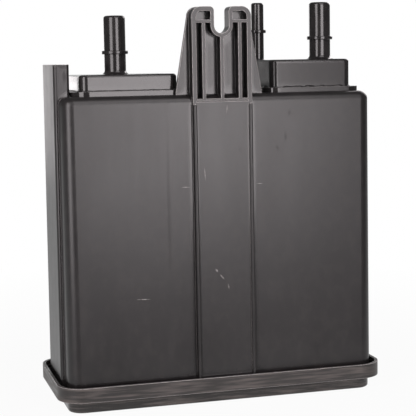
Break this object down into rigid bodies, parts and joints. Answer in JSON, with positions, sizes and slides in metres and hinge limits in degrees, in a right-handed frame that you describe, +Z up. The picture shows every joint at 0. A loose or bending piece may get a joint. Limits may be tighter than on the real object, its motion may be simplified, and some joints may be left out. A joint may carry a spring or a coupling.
{
  "type": "charcoal canister",
  "caption": "Upright black plastic fuel-vapour canister with welded caps, hose spigots, a notched ribbed bracket tower, a side rail and a lipped base, holding carbon beds.",
  "frame": {"origin": "middle of the base, on the plane that the canister stands on", "axes": "+Z up along the spigots, +X across the front towards the tank cap, front towards -Y"},
  "size_m": [0.2464, 0.104, 0.2919],
  "materials": {
    "case_plastic": "moulded, satin",
    "cover_plastic": "moulded, satin",
    "cap_plastic": "moulded, satin",
    "inner_plastic": "moulded, satin",
    "foam": "open-cell foam",
    "carbon": "packed pellets",
    "spring_steel": "drawn wire",
    "fleece": "needled fleece"
  },
  "bodies": {
    "root": {"case": "case_plastic", "bottom_cover": "cover_plastic", "vent_cap": "cap_plastic", "tank_cap": "cap_plastic", "vent_grid": "inner_plastic", "tank_grid": "inner_plastic", "vent_top_foam": "foam", "tank_top_foam": "foam", "vent_carbon": "carbon", "tank_carbon": "carbon", "vent_bottom_foam": "foam", "tank_bottom_foam": "foam", "vent_plate": "inner_plastic", "tank_plate": "inner_plastic", "vent_spring_outer": "spring_steel", "vent_spring_inner": "spring_steel", "tank_spring_inner": "spring_steel", "tank_spring_outer": "spring_steel", "vent_screen": "fleece", "tank_screen": "fleece"}
  },
  "joints": []
}
